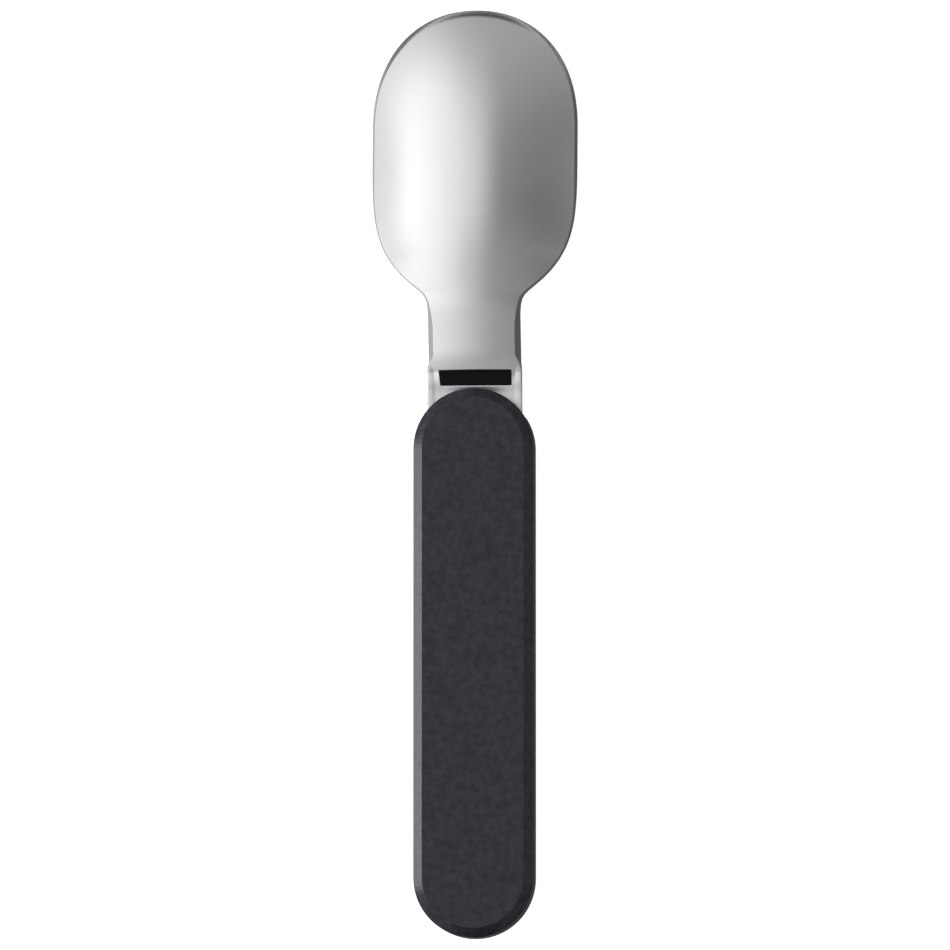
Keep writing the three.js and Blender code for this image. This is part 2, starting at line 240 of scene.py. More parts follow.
def hollow_rise(y):
    """How far the middle of the hollow stands above the rim, with its crown nearer the tip than the neck."""
    t = clamp((y - CROWN_Y) / BOWL_CROWN_LENGTH)
    s = clamp((CROWN_Y - y) / (CROWN_Y - BOWL_START_Y))
    to_tip = BOWL_DEPTH * (1 - t**CROWN_TIP_POWER)
    to_neck = NECK_ROLL + (BOWL_DEPTH - NECK_ROLL) * (1 - s * s) ** CROWN_NECK_POWER
    return np.where(y >= CROWN_Y, to_tip, to_neck)


def section_fall(share, y, rolled=0.0):
    """How far the section has fallen at a share of the half width.

    The hollow side also has the neck's edges rolled.
    """
    t = clamp((CROWN_Y - y) / (CROWN_Y - BOWL_START_Y))
    out = np.abs(share)
    neck = mix(rolled * out**NECK_ROLL_POWER, out**2, NECK_CROWN_SHARE)
    into_neck = smooth(clamp((t - NECK_ROLL_START) / (1 - NECK_ROLL_START)))
    return mix(out**BOWL_SECTION_POWER, neck, into_neck)


def hollow(share, y, rolled=0.0):
    """The under side of the bowl and the neck."""
    return rim_under(y) + hollow_rise(y) * (1 - section_fall(share, y, rolled))


def upright_thickness(share, y):
    """The sheet measured straight up, which grows with the slope of the hollow."""

    def before(f):
        return (f(y) - f(y - STEP_ALONG)) / STEP_ALONG

    width = np.maximum(half_width(y), SHEET)
    out = np.abs(share)
    turn = (section_fall(out, y) - section_fall(out - STEP_SHARE, y)) / STEP_SHARE
    across = hollow_rise(y) * turn / width
    along = before(rim_under) + before(hollow_rise) * (1 - section_fall(out, y))
    along = along + across * out * before(half_width)
    return SHEET * np.sqrt(1 + np.minimum(across**2 + along**2, STEEPEST))


def floor_at(y):
    """0 on the ramp and 1 on the tray. The change lies in the rows of the slot."""
    return smooth(clamp((SLOT_TOP_Y - y) / SLOT_WIDTH))


def tray_floor(share, y):
    """The back of the tray between its lips, which runs down most steeply along its middle."""
    slope = TRAY_SLOPE - TRAY_SLOPE_LESS * share**2
    seen = np.maximum(SLOT_TOP_Y - np.maximum(y, NOSE_Y), 0)
    hidden = np.clip(NOSE_Y - y, 0, TRAY_LEVEL)
    run = seen + hidden - hidden**2 / (2 * TRAY_LEVEL)
    return FLOOR_TOP - TRAY_START_DROP - slope * run - TRAY_CROWN * (share**2 - 0.5)


def lip_share(y):
    """The share of the half width that the lip takes: a thin wedge on the neck, wide on the tray."""
    return mix(NECK_LIP_SHARE, LIP_WIDTH / TRAY_HALF, tray_at(y))


def slot_distance(x, y):
    """How far a point lies outside the slot; negative inside it."""
    left = -SLOT_LENGTH / 2 + SLOT_LEFT_IN + SLOT_SLANT * (SLOT_TOP_Y - y) / SLOT_WIDTH
    dx = np.maximum(left - x, x - SLOT_LENGTH / 2) * SLOT_ROUND / SLOT_END_ROUND
    dy = np.maximum(SLOT_BOTTOM_Y - y, y - SLOT_TOP_Y)
    outside = np.hypot(np.maximum(dx, 0), np.maximum(dy, 0))
    return np.where(np.maximum(dx, dy) < 0, np.maximum(dx, dy), outside)


def rolled_over(distance, radius):
    """How far an edge has dropped at a distance from it, on a quarter circle."""
    d = np.clip(distance, 0, radius)
    return radius - np.sqrt(np.maximum(radius**2 - (radius - d) ** 2, 0))


def back_height(share, y):
    """The back of the sheet, with the lips, their rounded inner edges and the slot's rolled edge."""
    drop = APPROACH_DROP * clamp((SLOT_TOP_Y + SLOT_APPROACH - y) / SLOT_APPROACH) ** 2
    arch = hollow(share, y) + upright_thickness(share, y) - drop
    width = np.maximum(half_width(y), SHEET)
    lip_edge = 1 - lip_share(y)
    raised = smooth(clamp((np.abs(share) - lip_edge) * width / LIP_ROUND + 0.5))
    beside = hollow(lip_edge, y) + upright_thickness(lip_edge, y) - drop
    sheet = mix(arch, tray_floor(share, y), floor_at(y))
    lip = mix(beside, tray_floor(share, y), floor_at(y)) + LIP_HEIGHT
    plain = mix(sheet, lip, raised * tray_at(y)) - MARGIN
    return plain - rolled_over(slot_distance(share * width, y), SLOT_ROUND)


def under_height(share, y):
    """The whole under side of the sheet, which is flat under the tray."""
    return mix(hollow(share, y, 1.0), FLOOR_UNDER, tray_at(y))


def spread(marks):
    """Values between marks: a list of (start, steps), ended by a bare last value."""
    out = []
    for (start, steps), nxt in zip(marks[:-1], marks[1:]):
        end = nxt[0] if isinstance(nxt, tuple) else nxt
        out += [mix(start, end, k / steps) for k in range(steps)]
    return out + [marks[-1]]


def blade_rows():
    """Stations along the blade. Two of them lie on the slot's long edges."""
    rows = spread(
        [
            (TRAY_REAR_Y, 10),
            (SLOT_BOTTOM_Y - SLOT_ROUND, 6),
            (SLOT_BOTTOM_Y, 6),
            (SLOT_TOP_Y, 6),
            (SLOT_TOP_Y + SLOT_ROUND, 26),
            (LIP_START_Y, 20),
            (BOWL_START_Y, 60),
            (BOWL_CENTRE_Y - BOWL_MIDDLE, 30),
            BOWL_CENTRE_Y,
        ]
    )[:-1]
    turns = [math.pi / 2 * k / TIP_ROWS for k in range(TIP_ROWS)]
    rows += [BOWL_CENTRE_Y + BOWL_TIP_LENGTH * math.sin(a) ** (2 / TIP_END_POWER) for a in turns]
    return rows


def blade_columns(y):
    """Shares of the half width across one station.

    Some lie on the slot's ends and beside the lip's inner edge.
    """
    lip = 1 - lip_share(y)
    soft = LIP_ROUND / 2 / TRAY_HALF
    end = min(SLOT_LENGTH / 2 / TRAY_HALF, lip - END_BEFORE_LIP * soft)
    edge = SLOT_END_ROUND / TRAY_HALF
    wall = min(end + edge, lip - WALL_BEFORE_LIP * soft)
    right = spread([(0.0, 26), (end, 5), (wall, 3), (lip - soft, 8), (lip + soft, 6), 1.0])
    lean = SLOT_LEFT_IN * clamp((LIP_START_Y - y) / LIP_RUN_OUT)
    lean = (lean + SLOT_SLANT * clamp((SLOT_TOP_Y - y) / SLOT_WIDTH)) / TRAY_HALF

    def leaned(s):
        """A share on the left, moved in with the slot's left end."""
        if s < end:
            return s - lean * s / end
        return s - lean * max(0.0, 1 - abs(s - end) / (lip - soft - end))

    return [-leaned(s) for s in reversed(right[1:])] + right


def make_object(name, points, faces, materials, smooth_faces=True, sharp_angle=None):
    """A mesh object from points in millimetres."""
    mesh = bpy.data.meshes.new(name)
    mesh.from_pydata([tuple(float(c) * MM for c in p) for p in points], [], faces)
    mesh.validate()
    mesh.update()
    for m in materials:
        mesh.materials.append(m)
    for p in mesh.polygons:
        p.use_smooth = smooth_faces
    if sharp_angle is not None:
        mesh.set_sharp_from_angle(angle=math.radians(sharp_angle))
    obj = bpy.data.objects.new(name, mesh)
    bpy.context.scene.collection.objects.link(obj)
    return obj


def slot_walls(hole, back_id, under_id):
    """Faces between the two skins, on the sides of cells that border the hole."""
    holes = set(hole)
    faces = []
    for i, j in hole:
        sides = {
            (i - 1, j): ((i, j + 1), (i, j)),
            (i + 1, j): ((i + 1, j), (i + 1, j + 1)),
            (i, j - 1): ((i, j), (i + 1, j)),
            (i, j + 1): ((i + 1, j + 1), (i, j + 1)),
        }
        for neighbour, (a, b) in sides.items():
            if neighbour not in holes:
                faces.append((back_id[a], under_id[a], under_id[b], back_id[b]))
    return faces


def rim_loops(top, outline, low, y, rear):
    """Points of the rim: a ground facet down to the outline, a short upright edge, a small round below."""
    reach = clamp((y - BOWL_CENTRE_Y) / BOWL_TIP_LENGTH)
    edge_height = mix(RIM_EDGE, TIP_EDGE, reach**2)
    edge_height = mix(edge_height, LIP_TOP - FLOOR_UNDER - TRAY_EDGE_FACET, tray_at(y))
    highest = top[:, 2] - LEAST_FACET_DROP
    edge_z = np.where(rear, highest, np.minimum(outline[:, 2] + edge_height, highest))
    loops = []
    for t in FACET_STEPS:
        p = mix(top, outline, t)
        p[:, 2] = mix(top[:, 2], edge_z, t**FACET_CURVE)
        loops.append(p)
    low_edge = np.minimum(outline[:, 2] + RIM_ROUND, edge_z - LEAST_EDGE)
    for t in RIM_ROUND_STEPS:
        a = math.pi / 2 * t
        p = mix(outline, low, 1 - math.cos(a))
        p[:, 2] = mix(low_edge, low[:, 2], math.sin(a))
        loops.append(p)
    return loops


def blade_mesh(material):
    """The whole pressed sheet: back, hollow, rolled rim, and the slot with its walls."""
    rows = blade_rows()
    columns = np.array([blade_columns(y) for y in rows])
    count, across = columns.shape
    y = np.repeat(np.array(rows)[:, None], across, axis=1)
    width = half_width(y)
    reach = np.maximum(0, y - BOWL_CENTRE_Y) / BOWL_TIP_LENGTH
    facet = np.minimum(np.interp(y, *zip(*FACET_WIDTHS)), width / 3)

    def surface(inset, height):
        """Points of one skin, drawn in by a share of the facet's width."""
        px = columns * width - np.sign(columns) * facet * inset * np.abs(columns) ** INSET_POWER
        py = y - reach * TIP_BEVEL * inset
        skin = np.maximum(half_width(py), TOUCHING)
        share = np.clip(px / skin, -1, 1)
        return np.stack([px, py, height(share, py)], axis=-1)

    back = surface(1.0, back_height)
    under = surface(RIM_ROUND / TIP_BEVEL, under_height)
    outline = surface(0.0, under_height)

    points = []

    def add(p):
        points.append(tuple(float(c) for c in p))
        return len(points) - 1

    def apex(inset, height):
        py = TIP_Y - TIP_BEVEL * inset
        return (0.0, py, float(height(np.array(0.0), np.array(py))))

    back_id = np.array([[add(back[i, j]) for j in range(across)] for i in range(count)])
    under_id = np.array([[add(under[i, j]) for j in range(across)] for i in range(count)])
    back_apex = add(apex(1.0, back_height))
    under_apex = add(apex(RIM_ROUND / TIP_BEVEL, under_height))

    in_slot_row = [SLOT_BOTTOM_Y - TOUCHING <= r <= SLOT_TOP_Y + TOUCHING for r in rows]
    inside = slot_distance(columns * width, y) < IN_SLOT
    faces = []
    hole = []
    for i in range(count - 1):
        for j in range(across - 1):
            if in_slot_row[i] and in_slot_row[i + 1] and inside[i : i + 2, j : j + 2].all():
                hole.append((i, j))
                continue
            faces.append((back_id[i, j], back_id[i, j + 1], back_id[i + 1, j + 1], back_id[i + 1, j]))
            faces.append((under_id[i, j], under_id[i + 1, j], under_id[i + 1, j + 1], under_id[i, j + 1]))
    last = count - 1
    for j in range(across - 1):
        faces.append((back_id[last, j], back_id[last, j + 1], back_apex))
        faces.append((under_id[last, j], under_apex, under_id[last, j + 1]))

    faces += slot_walls(hole, back_id, under_id)

    # The rim runs round both skins, from the tray's rear over the right side and the tip.
    ring = [(0, j) for j in range(across)] + [(i, across - 1) for i in range(1, count)]
    ring += ["apex"] + [(i, 0) for i in range(count - 1, 0, -1)]
    top = [back_apex if k == "apex" else back_id[k] for k in ring]
    bottom = [under_apex if k == "apex" else under_id[k] for k in ring]
    top_p = np.array([points[i] for i in top])
    low_p = np.array([points[i] for i in bottom])
    out_p = np.array([apex(0.0, under_height) if k == "apex" else outline[k] for k in ring])
    ring_y = np.array([TIP_Y if k == "apex" else rows[k[0]] for k in ring])
    rear = np.array([k != "apex" and k[0] == 0 for k in ring])
    loops = [top]
    for loop in rim_loops(top_p, out_p, low_p, ring_y, rear):
        loops.append([add(q) for q in loop])
    loops.append(bottom)
    size = len(ring)
    for upper, lower in zip(loops[:-1], loops[1:]):
        for k in range(size):
            n = (k + 1) % size
            faces.append((lower[k], lower[n], upper[n], upper[k]))
    return make_object("spoon_blade_sheet", points, faces, [material], sharp_angle=SHARP_DEG)


# Materials


def linear(hex_colour):
    """An sRGB hex colour as linear red, green and blue."""
    out = []
    for k in (1, 3, 5):
        c = int(hex_colour[k : k + 2], 16) / 255
        out.append(c / 12.92 if c <= 0.04045 else ((c + 0.055) / 1.055) ** 2.4)
    return (*out, 1.0)


def add_node(tree, kind, settings=None, links=None):
    """One node with its settings and the sockets that feed it."""
    node = tree.nodes.new(kind)
    for key, value in (settings or {}).items():
        if isinstance(key, str) and hasattr(node, key):
            setattr(node, key, value)
        else:
            node.inputs[key].default_value = value
    for key, source in (links or {}).items():
        tree.links.new(source, node.inputs[key])
    return node


def new_material(name, settings):
    """A material whose shader has these constants on its own sockets."""
    material = bpy.data.materials.new(name)
    material.use_nodes = True
    tree = material.node_tree
    shader = tree.nodes["Principled BSDF"]
    for key, value in settings.items():
        shader.inputs[key].default_value = value
    return material, tree, shader


# Real sizes of the patterns, in millimetres
STEEL_CLOUD = 9
PLASTIC_CLOUD = 1.2
SPRING_GRAIN = 0.5
NYLON_GRAIN = 0.4

# Tumbling leaves marks about 0.02 mm wide, and a spark-eroded mould leaves pits of 0.05 mm. Both are too fine
# to show, so they are drawn coarser, as wide as this. The marks are long, by one over the second value.
STEEL_MARK = 0.35
STEEL_MARK_STRETCH = 0.06
PLASTIC_PIT = 0.3

# The tray lies between its lips, where tumbling polishes it less: from this place to that
DULL_FROM_Y = 17
DULL_TO_Y = 15.2
DULL_ROUGHNESS = 0.16


def satin_steel():
    """Stainless steel, pressed and then tumbled: a soft grey mirror with a faint grain along the blade."""
    settings = {"Metallic": 1.0, "Base Color": linear("#d2d2d4")}
    material, tree, shader = new_material("satin stainless steel", settings)
    where = add_node(tree, "ShaderNodeTexCoord").outputs["Object"]
    across = 1 / (STEEL_MARK * MM)
    stretch = {"Scale": (across, STEEL_MARK_STRETCH / (STEEL_MARK * MM), across)}
    drawn_out = add_node(tree, "ShaderNodeMapping", stretch, {"Vector": where}).outputs["Vector"]
    fine = {"Scale": 1.0, "Detail": 3.0}
    marks = add_node(tree, "ShaderNodeTexNoise", fine, {"Vector": drawn_out}).outputs["Fac"]
    cloudy = {"Scale": 1 / (STEEL_CLOUD * MM), "Detail": 2.0}
    cloud = add_node(tree, "ShaderNodeTexNoise", cloudy, {"Vector": where}).outputs["Fac"]
    both = add_node(tree, "ShaderNodeMath", {"operation": "ADD"}, {0: marks, 1: cloud}).outputs["Value"]
    polish = {"From Min": 0.6, "From Max": 1.4, "To Min": 0.16, "To Max": 0.2}
    polished = add_node(tree, "ShaderNodeMapRange", polish, {"Value": both}).outputs["Result"]
    along = add_node(tree, "ShaderNodeSeparateXYZ", {}, {"Vector": where}).outputs["Y"]
    fade = {"From Min": DULL_FROM_Y * MM, "From Max": DULL_TO_Y * MM, "To Min": 0.0, "To Max": DULL_ROUGHNESS}
    dull = add_node(tree, "ShaderNodeMapRange", fade, {"Value": along}).outputs["Result"]
    rough = add_node(tree, "ShaderNodeMath", {"operation": "ADD"}, {0: polished, 1: dull}).outputs["Value"]
    tree.links.new(rough, shader.inputs["Roughness"])
    bump = add_node(tree, "ShaderNodeBump", {"Strength": 0.05, "Distance": 0.004 * MM}, {"Height": marks})
    tree.links.new(bump.outputs["Normal"], shader.inputs["Normal"])
    return material


def moulded_plastic(name, hex_dark, hex_light, roughness, gloss):
    """Black plastic from a spark-eroded mould: matte, with a fine even grain and a faint cloudiness."""
    settings = {"IOR": 1.5, "Specular Tint": linear("#f8f6ff"), "Specular IOR Level": gloss}
    material, tree, shader = new_material(name, settings)
    where = add_node(tree, "ShaderNodeTexCoord").outputs["Object"]
    cloudy = {"Scale": 1 / (PLASTIC_CLOUD * MM), "Detail": 4.0, "Roughness": 0.6}
    cloud = add_node(tree, "ShaderNodeTexNoise", cloudy, {"Vector": where}).outputs["Fac"]
    clearer = {"From Min": 0.35, "From Max": 0.65}
    patches = add_node(tree, "ShaderNodeMapRange", clearer, {"Value": cloud}).outputs["Result"]
    colours = {"data_type": "RGBA", 6: linear(hex_dark), 7: linear(hex_light)}
    shade = add_node(tree, "ShaderNodeMix", colours, {"Factor": patches})
    tree.links.new(shade.outputs[2], shader.inputs["Base Color"])
    pitted = {"Scale": 1 / (PLASTIC_PIT * MM), "Detail": 2.0}
    pits = add_node(tree, "ShaderNodeTexNoise", pitted, {"Vector": where}).outputs["Fac"]
    matte = {"To Min": roughness - 0.06, "To Max": roughness + 0.06}
    rough = add_node(tree, "ShaderNodeMapRange", matte, {"Value": pits}).outputs["Result"]
    tree.links.new(rough, shader.inputs["Roughness"])
    bump = add_node(tree, "ShaderNodeBump", {"Strength": 0.25, "Distance": 0.02 * MM}, {"Height": pits})
    tree.links.new(bump.outputs["Normal"], shader.inputs["Normal"])
    return material


def hidden_steel():
    """Cold-rolled spring steel, greyer and duller than the blade."""
    settings = {"Metallic": 1.0, "Base Color": linear("#9b9b9f")}
    material, tree, shader = new_material("rolled spring steel", settings)
    where = add_node(tree, "ShaderNodeTexCoord").outputs["Object"]
    rolled = {"Scale": 1 / (SPRING_GRAIN * MM), "Detail": 2.0}
    grain = add_node(tree, "ShaderNodeTexNoise", rolled, {"Vector": where}).outputs["Fac"]
    rough = add_node(tree, "ShaderNodeMapRange", {"To Min": 0.32, "To Max": 0.42}, {"Value": grain})
    tree.links.new(rough.outputs["Result"], shader.inputs["Roughness"])
    return material


def natural_nylon():
    """Unpigmented nylon, moulded: milky and slightly waxy."""
    settings = {"Base Color": linear("#dedacb"), "Roughness": 0.5}
    material, tree, shader = new_material("natural nylon", settings)
    where = add_node(tree, "ShaderNodeTexCoord").outputs["Object"]
    waxy = {"Scale": 1 / (NYLON_GRAIN * MM)}
    grain = add_node(tree, "ShaderNodeTexNoise", waxy, {"Vector": where}).outputs["Fac"]
    bump = add_node(tree, "ShaderNodeBump", {"Strength": 0.2, "Distance": 0.01 * MM}, {"Height": grain})
    tree.links.new(bump.outputs["Normal"], shader.inputs["Normal"])
    return material


STEEL = satin_steel()
SPRING_STEEL = hidden_steel()
HANDLE_PLASTIC = moulded_plastic("black moulded polypropylene", "#020203", "#26232e", 0.3, 0.46)
KNUCKLE_NYLON = moulded_plastic("black glass-filled nylon", "#050505", "#0b0b0c", 0.7, 0.15)
WASHER_NYLON = natural_nylon()


# Pieces


def dress_node(node, material, bevel_mm):
    """A CAD node that keeps its own shape: its material, and small radii on its edges."""
    obj = frame["nodes"][node]
    obj.data.materials.clear()
    obj.data.materials.append(material)
    bevel = obj.modifiers.new("edge radii", "BEVEL")
    bevel.width = bevel_mm * MM
    bevel.segments = 2
    bevel.limit_method = "ANGLE"
    bevel.angle_limit = math.radians(35)
    bevel.harden_normals = True


blade = blade_mesh(STEEL)
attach(blade, "blade")
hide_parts("spoon_blade")


def slot_fill(material):
    """The plastic that is moulded tight into the slot, as one plug."""
    left = -SLOT_LENGTH / 2 + SLOT_LEFT_IN
    right = SLOT_LENGTH / 2
    outline = [
        (left + SLOT_SLANT, SLOT_BOTTOM_Y),
        (right, SLOT_BOTTOM_Y),
        (right, SLOT_TOP_Y),
        (left, SLOT_TOP_Y),
    ]
    heights = (FLOOR_UNDER - PLUG_BELOW, FLOOR_TOP - NUB_SINK - PLUG_SINK)
    points = [(x, y, z) for z in heights for x, y in outline]
    faces = [(3, 2, 1, 0), (4, 5, 6, 7)]
    faces += [(k, (k + 1) % 4, 4 + (k + 1) % 4, 4 + k) for k in range(4)]
    return make_object("slot_plug", points, faces, [material], smooth_faces=False)


plug = slot_fill(KNUCKLE_NYLON)
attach(plug, "blade")

for node, material, radius in (
    ("hinge_knuckle", KNUCKLE_NYLON, 0.12),
    ("hinge_pin", SPRING_STEEL, 0.05),
    ("hinge_washer_left", WASHER_NYLON, 0.04),
    ("hinge_washer_right", WASHER_NYLON, 0.04),
    ("detent_spring", SPRING_STEEL, 0.08),
    ("handle_front_shell", HANDLE_PLASTIC, 0.15),
    ("handle_back_shell", HANDLE_PLASTIC, 0.2),
):
    dress_node(node, material, radius)


# Studio

# The floor is in metres, as the lamp and the camera are. The folded bowl just clears it.
FLOOR_Z = -0.0105
FLOOR_HALF = 1500.0
BOARD_HALF = 400.0
BOARD_LIFT = 0.0002
TENT_RADIUS = 2000.0
TENT_TURNS = 48
TENT_RISES = 12
TENT_TIP_DEG = 4.4
WHITE = (1.0, 1.0, 1.0, 1.0)

# Light changes softly from one mark to the next
SOFT_STEP = {"interpolation_type": "SMOOTHSTEP"}


def seen_ray(tree):
    """1 for the rays that should find the plain white ground: camera, glossy and transmission rays."""
    path = add_node(tree, "ShaderNodeLightPath").outputs
    most = {"operation": "MAXIMUM"}
    first = add_node(tree, "ShaderNodeMath", most, {0: path["Is Camera Ray"], 1: path["Is Glossy Ray"]})
    links = {0: first.outputs["Value"], 1: path["Is Transmission Ray"]}
    return add_node(tree, "ShaderNodeMath", most, links).outputs["Value"]


def flat_square(name, half, height, material):
    """A level square round the spoon."""
    corners = [(-half, -half, 0), (half, -half, 0), (half, half, 0), (-half, half, 0)]
    square = make_object(name, corners, [(0, 1, 2, 3)], [material])
    square.location.z = height
    return square


def white_floor():
    """A pale floor that reads as plain white, keeps the shadow, and can't be seen from below."""
    material = bpy.data.materials.new("white floor")
    material.use_nodes = True
    tree = material.node_tree
    tree.nodes.clear()
    matt = add_node(tree, "ShaderNodeBsdfDiffuse", {"Color": linear("#e6e6e6")}).outputs["BSDF"]
    white = add_node(tree, "ShaderNodeEmission", {"Color": WHITE, "Strength": 0.75}).outputs["Emission"]
    lit = add_node(tree, "ShaderNodeAddShader", {}, {0: white, 1: matt}).outputs["Shader"]
    shown = add_node(tree, "ShaderNodeMixShader", {}, {"Fac": seen_ray(tree), 1: matt, 2: lit})
    clear = add_node(tree, "ShaderNodeBsdfTransparent").outputs["BSDF"]
    below = add_node(tree, "ShaderNodeNewGeometry").outputs["Backfacing"]
    links = {"Fac": below, 1: shown.outputs["Shader"], 2: clear}
    both = add_node(tree, "ShaderNodeMixShader", {}, links)
    add_node(tree, "ShaderNodeOutputMaterial", {}, {"Surface": both.outputs["Shader"]})
    floor = flat_square("floor", FLOOR_HALF, FLOOR_Z, material)


def white_world():
    """A world that lights the spoon softly, and is plain white where it is seen."""
    world = bpy.data.worlds.new("white world")
    bpy.context.scene.world = world
    world.use_nodes = True
    tree = world.node_tree
    tree.nodes.clear()
    light = add_node(tree, "ShaderNodeBackground", {"Color": WHITE, "Strength": 0.45}).outputs["Background"]
    seen = add_node(tree, "ShaderNodeBackground", {"Color": WHITE, "Strength": 1.0}).outputs["Background"]
    both = add_node(tree, "ShaderNodeMixShader", {}, {"Fac": seen_ray(tree), 1: light, 2: seen})
    add_node(tree, "ShaderNodeOutputWorld", {}, {"Surface": both.outputs["Shader"]})


def aim(obj, place, target):
    """Puts an object at a place with its -Z axis on the target and its top towards the tip of the bowl."""
    back = (Vector(place) - Vector(target)).normalized()
    right = Vector((0, 1, 0)).cross(back).normalized()
    up = back.cross(right)
    turn = Matrix((right, up, back)).transposed()
    obj.matrix_world = Matrix.Translation(place) @ turn.to_4x4()


def soft_patch(tree, direction, side_deg, along_deg, reach_side, reach_along, edge):
    """A soft round patch on the tent, 1 in its middle and 0 outside, at two angles from straight up."""
    a, b = math.radians(side_deg), math.radians(along_deg)
    settings = {
        "vector_type": "TEXTURE",
        "Location": (math.sin(a) * math.cos(b), math.sin(b), math.cos(a) * math.cos(b)),
        "Rotation": (0.0, a, 0.0),
        "Scale": (reach_side, reach_along, max(reach_side, reach_along)),
    }
    placed = add_node(tree, "ShaderNodeMapping", settings, {"Vector": direction}).outputs["Vector"]
    patch = add_node(tree, "ShaderNodeTexGradient", {"gradient_type": "SPHERICAL"}, {"Vector": placed})
    soft = {**SOFT_STEP, "From Max": edge}
    return add_node(tree, "ShaderNodeMapRange", soft, {"Value": patch.outputs["Fac"]}).outputs["Result"]


def glowing_material(name):
    """A cloth or board that glows by its own pattern and isn't looked for as a lamp."""
    material = bpy.data.materials.new(name)
    material.use_nodes = True
    material.cycles.emission_sampling = "NONE"
    tree = material.node_tree
    tree.nodes.clear()
    where = add_node(tree, "ShaderNodeTexCoord").outputs["Object"]
    return material, tree, where


def finish_glow(tree, strength):
    """Makes a material glow as brightly as its pattern says."""
    glow = add_node(tree, "ShaderNodeEmission", {"Color": WHITE}, {"Strength": strength})
    add_node(tree, "ShaderNodeOutputMaterial", {}, {"Surface": glow.outputs["Emission"]})


def tent_pattern(tree, where):
    """How bright the cloth is.

    It is bright on the left with a lamp behind it, grey on the right behind a flag, and dim at its two ends.
    """
    tip = {"Rotation": (math.radians(TENT_TIP_DEG), 0, 0)}
    tipped = add_node(tree, "ShaderNodeMapping", tip, {"Vector": where}).outputs["Vector"]
    aimed = add_node(tree, "ShaderNodeVectorMath", {"operation": "NORMALIZE"}, {0: tipped}).outputs["Vector"]
    parts = add_node(tree, "ShaderNodeSeparateXYZ", {}, {"Vector": aimed}).outputs
    left_to_right = {**SOFT_STEP, "From Min": -0.98, "From Max": 0.09, "To Min": 1.12, "To Max": 0.552}
    level = add_node(tree, "ShaderNodeMapRange", left_to_right, {"Value": parts["X"]}).outputs["Result"]
    lamp = soft_patch(tree, aimed, -27.6, 6.9, 0.706, 0.924, 0.54)
    with_lamp = {"operation": "MULTIPLY_ADD", 1: 0.563}
    lit = add_node(tree, "ShaderNodeMath", with_lamp, {0: lamp, 2: level}).outputs["Value"]
    flag = soft_patch(tree, aimed, 44.1, 0.5, 1.468, 1.175, 1.03)
    with_flag = {"operation": "MULTIPLY_ADD", 1: -0.311}
    flagged = add_node(tree, "ShaderNodeMath", with_flag, {0: flag, 2: lit}).outputs["Value"]
    right_end = {**SOFT_STEP, "From Min": 0.95, "From Max": 1.0, "To Min": 0.0, "To Max": 0.3}
    past_flag = add_node(tree, "ShaderNodeMapRange", right_end, {"Value": parts["X"]}).outputs["Result"]
    lifted = add_node(tree, "ShaderNodeMath", {"operation": "ADD"}, {0: flagged, 1: past_flag})
    far_end = {**SOFT_STEP, "From Min": 0.86, "From Max": 1.0, "To Min": 1.0, "To Max": 0.08}
    far = add_node(tree, "ShaderNodeMapRange", far_end, {"Value": parts["Y"]}).outputs["Result"]
    near_end = {**SOFT_STEP, "From Min": -0.8, "From Max": -1.0, "To Min": 1.0, "To Max": 0.1}
    near = add_node(tree, "ShaderNodeMapRange", near_end, {"Value": parts["Y"]}).outputs["Result"]
    ends = add_node(tree, "ShaderNodeMath", {"operation": "MULTIPLY"}, {0: far, 1: near})
    links = {0: lifted.outputs["Value"], 1: ends.outputs["Value"]}
    return add_node(tree, "ShaderNodeMath", {"operation": "MULTIPLY"}, links).outputs["Value"]


def light_tent():
    """A tent of white cloth over the spoon. Only surfaces see it, not the camera."""
    material, tree, where = glowing_material("tent cloth")
    finish_glow(tree, tent_pattern(tree, where))
    points = []
    for rise in range(TENT_RISES):
        e = math.pi / 2 * rise / TENT_RISES
        for turn in range(TENT_TURNS):
            a = 2 * math.pi * turn / TENT_TURNS
            across = TENT_RADIUS * math.cos(e)
            points.append((across * math.cos(a), across * math.sin(a), TENT_RADIUS * math.sin(e)))
    points.append((0.0, 0.0, TENT_RADIUS))
    faces = []
    for rise in range(TENT_RISES):
        low = rise * TENT_TURNS
        for turn in range(TENT_TURNS):
            n = (turn + 1) % TENT_TURNS
            if rise < TENT_RISES - 1:
                faces.append((low + turn, low + n, low + TENT_TURNS + n, low + TENT_TURNS + turn))
            else:
                faces.append((low + turn, low + n, len(points) - 1))
    tent = make_object("light_tent", points, faces, [material])
    tent.location.z = FLOOR_Z
    tent.visible_camera = False
    tent.visible_shadow = False


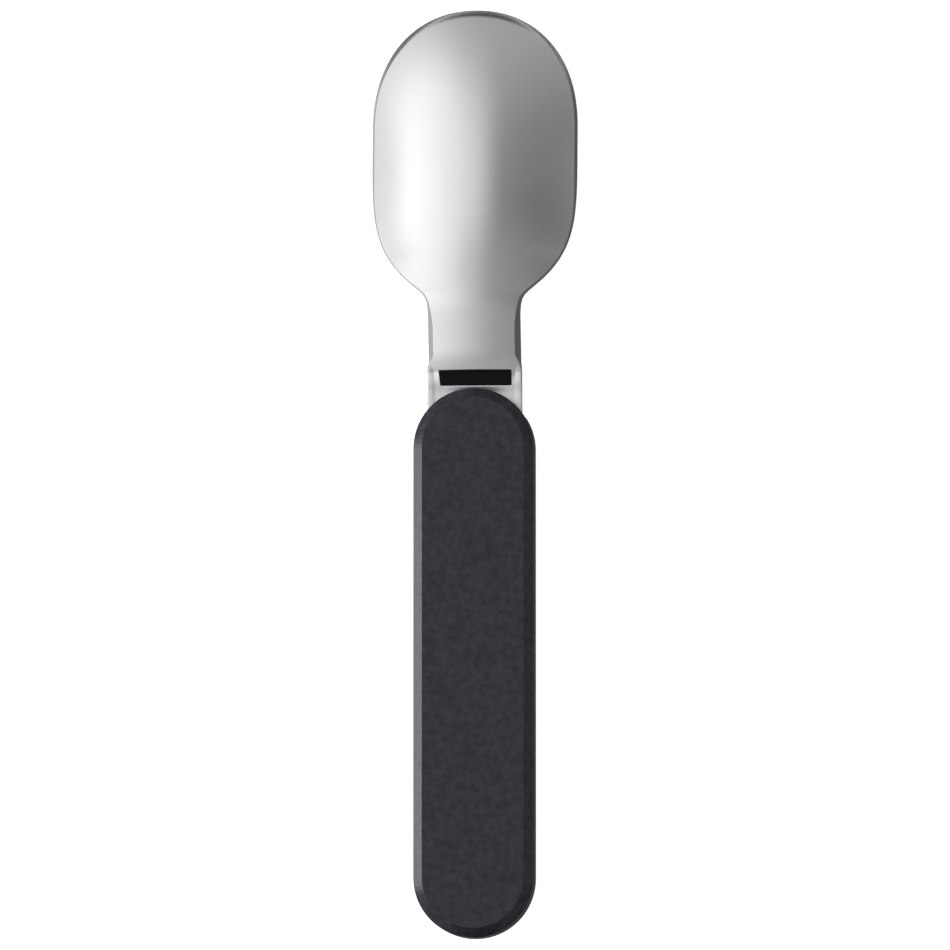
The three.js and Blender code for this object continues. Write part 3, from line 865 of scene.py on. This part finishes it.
def painted_reflection_pattern(tree, where):
    """How bright the board is.

    It is grey on the left, and black on the right, straight past the tip and behind the handle.
    These greys are painted light, seen only in reflections: the lit floor on the left, and shade on the floor
    round the rest of the spoon.
    """
    parts = add_node(tree, "ShaderNodeSeparateXYZ", {}, {"Vector": where}).outputs
    sides = {**SOFT_STEP, "From Min": -16 * MM, "From Max": 6 * MM, "To Min": 0.62, "To Max": 0.13}
    side = add_node(tree, "ShaderNodeMapRange", sides, {"Value": parts["X"]}).outputs["Result"]
    to_tip = {**SOFT_STEP, "From Min": 68 * MM, "From Max": 92 * MM, "To Max": 0.28}
    along = add_node(tree, "ShaderNodeMapRange", to_tip, {"Value": parts["Y"], "To Min": side})
    off_centre = add_node(tree, "ShaderNodeMath", {"operation": "ABSOLUTE"}, {0: parts["X"]}).outputs["Value"]
    middle = {**SOFT_STEP, "From Min": 20 * MM, "From Max": 55 * MM, "To Min": 0.18, "To Max": 1.0}
    straight = add_node(tree, "ShaderNodeMapRange", middle, {"Value": off_centre}).outputs["Result"]
    beyond = {**SOFT_STEP, "From Min": 92 * MM, "From Max": 112 * MM, "To Min": 1.0}
    past_tip = add_node(tree, "ShaderNodeMapRange", beyond, {"Value": parts["Y"], "To Max": straight})
    links = {0: along.outputs["Result"], 1: past_tip.outputs["Result"]}
    ahead = add_node(tree, "ShaderNodeMath", {"operation": "MULTIPLY"}, links).outputs["Value"]
    rear = {**SOFT_STEP, "From Min": -80 * MM, "From Max": -100 * MM, "To Min": 1.0, "To Max": 0.2}
    behind = add_node(tree, "ShaderNodeMapRange", rear, {"Value": parts["Y"]}).outputs["Result"]
    return add_node(tree, "ShaderNodeMath", {"operation": "MULTIPLY"}, {0: ahead, 1: behind}).outputs["Value"]


def painted_reflection_board():
    """A board on the floor that only polished edges see.

    Its glow is a painted reflection of the lit floor and the shade round the spoon.
    It draws the dark line round the rim.
    """
    material, tree, where = glowing_material("painted reflection board")
    finish_glow(tree, painted_reflection_pattern(tree, where))
    board = flat_square("painted_reflection_board", BOARD_HALF, FLOOR_Z + BOARD_LIFT, material)
    board.visible_camera = False
    board.visible_diffuse = False
    board.visible_shadow = False
    board.visible_transmission = False


def soft_box(name, centre, target, width, height, power):
    """A rectangular lamp that faces its target."""
    lamp = bpy.data.lights.new(name, "AREA")
    lamp.shape = "RECTANGLE"
    lamp.size = width
    lamp.size_y = height
    lamp.energy = power
    obj = bpy.data.objects.new(name, lamp)
    bpy.context.scene.collection.objects.link(obj)
    aim(obj, centre, target)


white_floor()
white_world()
light_tent()
# A glowing board that paints reflections of the floor's light and shade into the steel
painted_reflection_board()
soft_box("low lamp beside the handle", (-0.14, -0.031, 0.016), (0.0, -0.031, 0.008), 0.03, 0.115, 0.106)


# Camera: straight over the spoon's back, a few degrees to the right of it and towards the handle

CAMERA_SIDE_DEG = 4.8
CAMERA_NEAR_DEG = 4.8
CAMERA_DISTANCE = 2.4
CAMERA_TARGET = (0.00008, -0.0005, 0.004)
SENSOR_MM = 36.0
FRAME_MM = 162.85

camera_data = bpy.data.cameras.new("camera")
camera = bpy.data.objects.new("camera", camera_data)
bpy.context.scene.collection.objects.link(camera)
bpy.context.scene.camera = camera
camera_data.sensor_width = SENSOR_MM
camera_data.lens = SENSOR_MM * CAMERA_DISTANCE / (FRAME_MM * MM)
camera_data.clip_start = 0.05
camera_data.clip_end = 20.0
side = math.tan(math.radians(CAMERA_SIDE_DEG))
near = math.tan(math.radians(CAMERA_NEAR_DEG))
towards = Vector((side, -near, 1.0)).normalized()
aim(camera, Vector(CAMERA_TARGET) + towards * CAMERA_DISTANCE, CAMERA_TARGET)

bpy.context.scene.view_settings.view_transform = "Standard"
